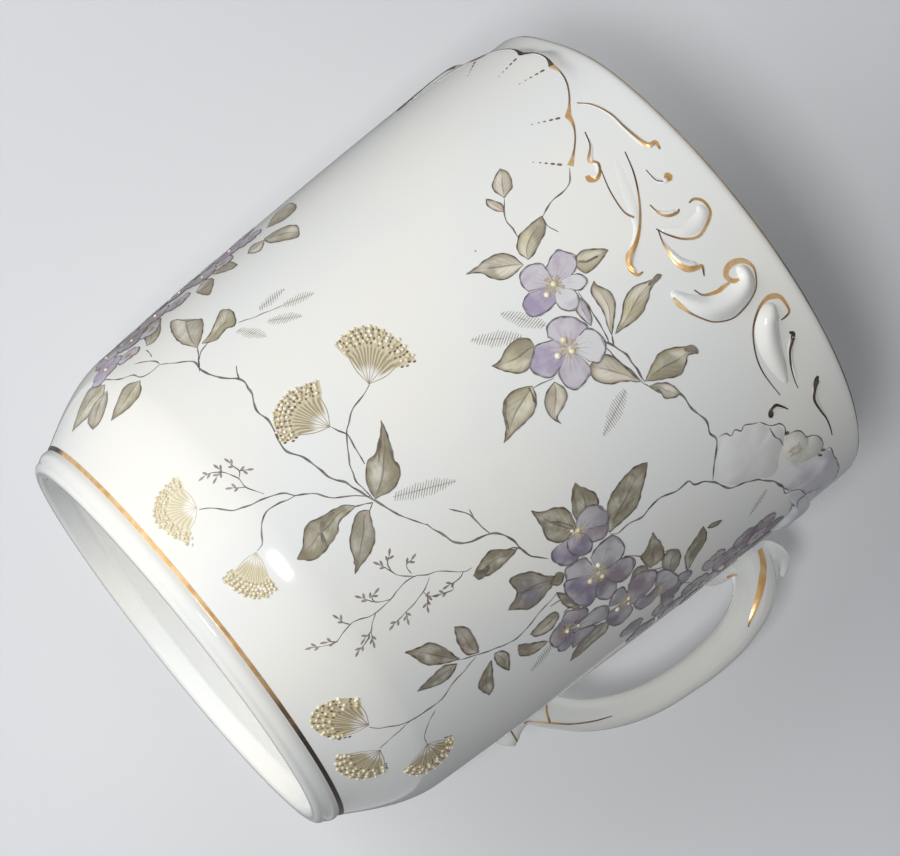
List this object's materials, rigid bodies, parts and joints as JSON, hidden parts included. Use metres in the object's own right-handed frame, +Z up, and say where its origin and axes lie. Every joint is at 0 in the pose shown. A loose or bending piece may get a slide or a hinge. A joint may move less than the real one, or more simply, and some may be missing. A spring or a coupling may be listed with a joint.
{
  "type": "espresso cup",
  "caption": "Straight-sided porcelain espresso cup on a low foot ring, with a looped handle and moulded scroll relief under the rim.",
  "frame": {"origin": "middle of the cup's box on the surface that the foot ring stands on; the cup's turning axis is the line x = -6.5 mm, y = 0", "axes": "+Z up along the cup's turning axis, +X towards the handle, -Y the side the picture shows"},
  "size_m": [0.0726, 0.061, 0.066],
  "materials": {
    "porcelain": "gloss",
    "gilding": "gloss",
    "leaf_enamel": "gloss",
    "lilac_enamel": "gloss"
  },
  "bodies": {
    "root": {"cup_body": "porcelain", "foot_ring": "porcelain", "handle_loop": "porcelain", "handle_thumb_spur": "porcelain", "handle_bracket": "porcelain", "handle_terminal": "porcelain", "rocaille_border": "porcelain", "s_scroll": "porcelain", "hook_scroll": "porcelain", "long_leaf": "porcelain", "bud_comma": "porcelain", "small_hook": "porcelain", "c_scroll": "porcelain", "leaf_scroll": "porcelain", "big_scroll_front": "porcelain", "tall_comma_front": "porcelain", "slim_comma_front": "porcelain", "rim_comma_front": "porcelain", "curl_front": "porcelain", "blossom_front": "porcelain", "blossom_leaf_front": "porcelain", "blossom_bud_front": "porcelain", "big_scroll_back": "porcelain", "tall_comma_back": "porcelain", "slim_comma_back": "porcelain", "rim_comma_back": "porcelain", "curl_back": "porcelain", "blossom_back": "porcelain", "blossom_leaf_back": "porcelain", "blossom_bud_back": "porcelain"}
  },
  "joints": []
}
